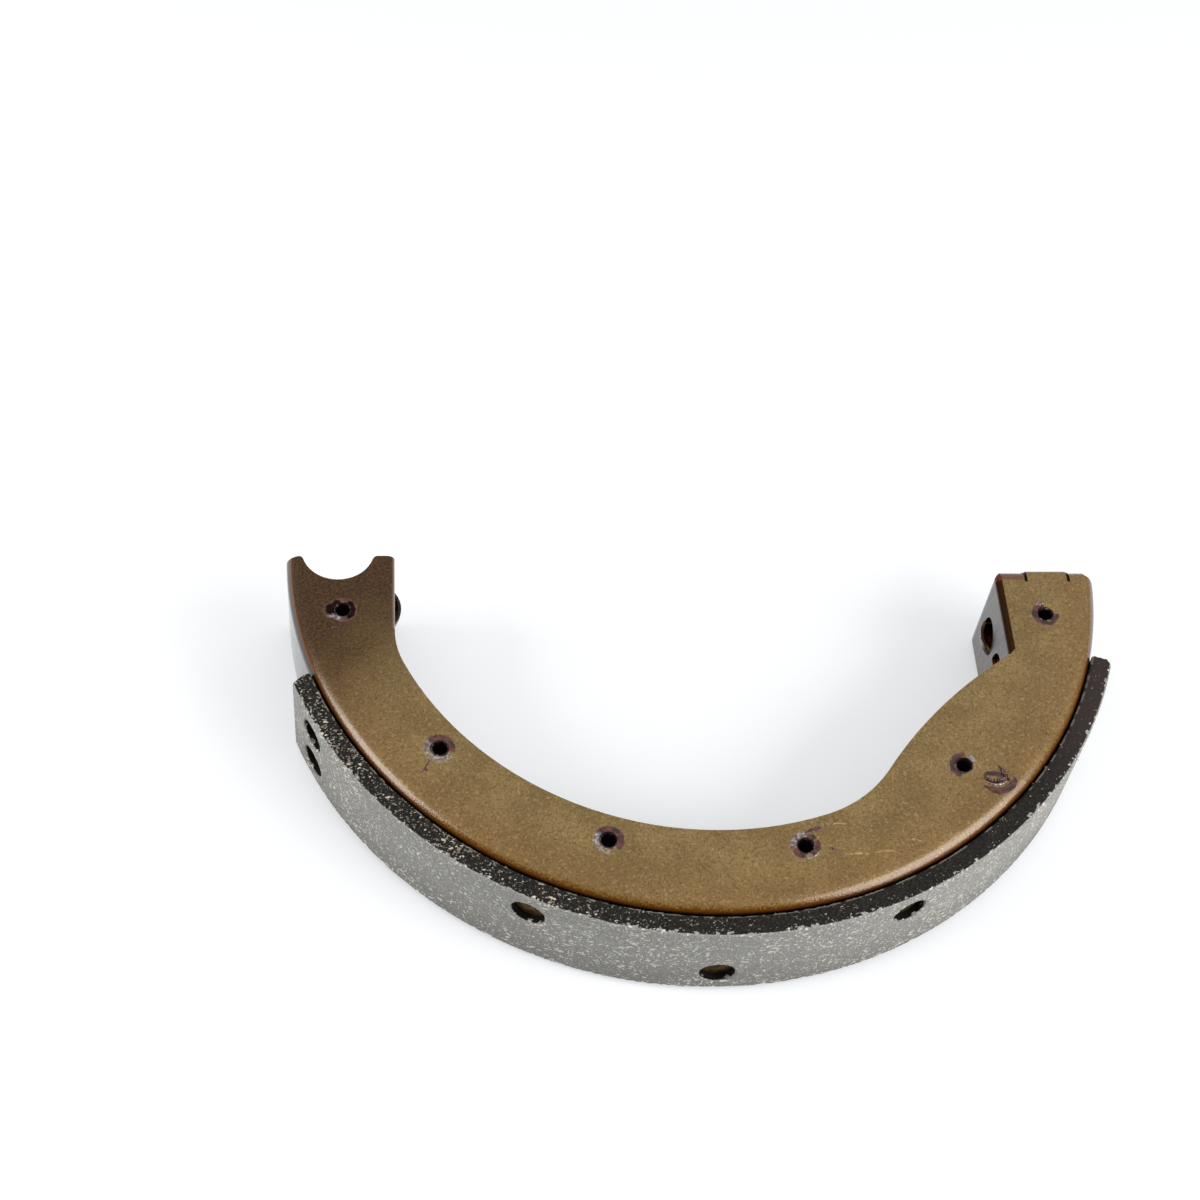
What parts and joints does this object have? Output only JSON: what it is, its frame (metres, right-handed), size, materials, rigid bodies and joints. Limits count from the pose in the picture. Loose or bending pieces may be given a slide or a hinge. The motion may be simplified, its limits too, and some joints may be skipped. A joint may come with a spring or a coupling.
{
  "type": "drum brake shoe",
  "caption": "Curved drum brake shoe: two pressed steel half shells joined by tubular rivets, with a pivot notch, a cam face, spring holes and a riveted friction lining.",
  "frame": {"origin": "centre of the brake drum that the lining's arc fits, at the level of the lower web", "axes": "+Z along the drum's axis, out of the upper web; +X from the pivot end to the cam end; -Y out of the middle of the lining, so the cam face looks along +Y"},
  "size_m": [0.1929, 0.0989, 0.0286],
  "materials": {
    "shell": "bronze-brown dip paint, semi-gloss",
    "lining": "ground friction material with pale and dark flecks",
    "tie_rivet": "steel under the same paint, bright on the lips",
    "brass": "satin"
  },
  "bodies": {
    "root": {"shell_upper": "shell", "shell_lower": "shell", "lining": "lining", "tie_rivet_1": "tie_rivet", "tie_rivet_2": "tie_rivet", "tie_rivet_3": "tie_rivet", "tie_rivet_4": "tie_rivet", "tie_rivet_5": "tie_rivet", "tie_rivet_6": "tie_rivet", "lining_rivet_1": "brass", "lining_rivet_2": "brass", "lining_rivet_3": "brass", "lining_rivet_4": "brass", "lining_rivet_5": "brass", "lining_rivet_6": "brass", "lining_rivet_7": "brass"}
  },
  "joints": []
}
